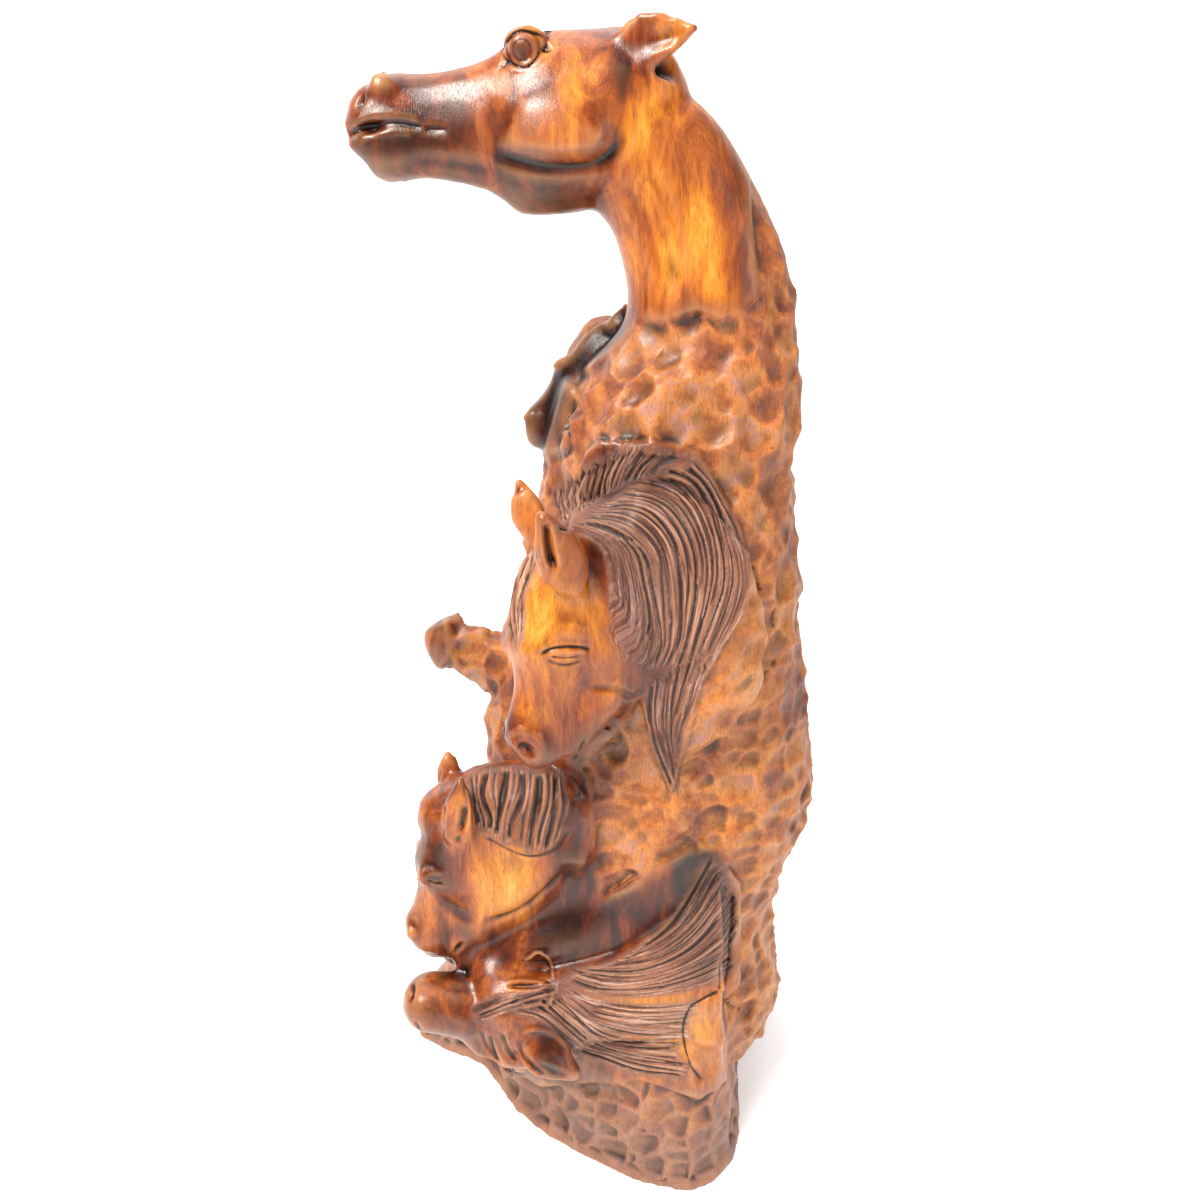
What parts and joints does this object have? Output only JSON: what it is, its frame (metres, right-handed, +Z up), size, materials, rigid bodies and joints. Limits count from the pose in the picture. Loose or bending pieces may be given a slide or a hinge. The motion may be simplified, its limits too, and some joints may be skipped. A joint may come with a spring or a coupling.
{
  "type": "wooden horse head sculpture",
  "caption": "Carved wooden column of horse heads with combed manes, the largest stretching forward from a long arched neck at the top of a gouge-cut trunk.",
  "frame": {"origin": "near the middle of the flat underside, on the floor", "axes": "+Z up, the top horse looks towards -X, and the side seen in the picture faces -Y"},
  "size_m": [0.4239, 0.3328, 1],
  "materials": {
    "wood": "varnished hardwood, glossy on the smooth heads and satin on the gouge cuts"
  },
  "bodies": {
    "root": {"horse_carving": "wood"}
  },
  "joints": []
}
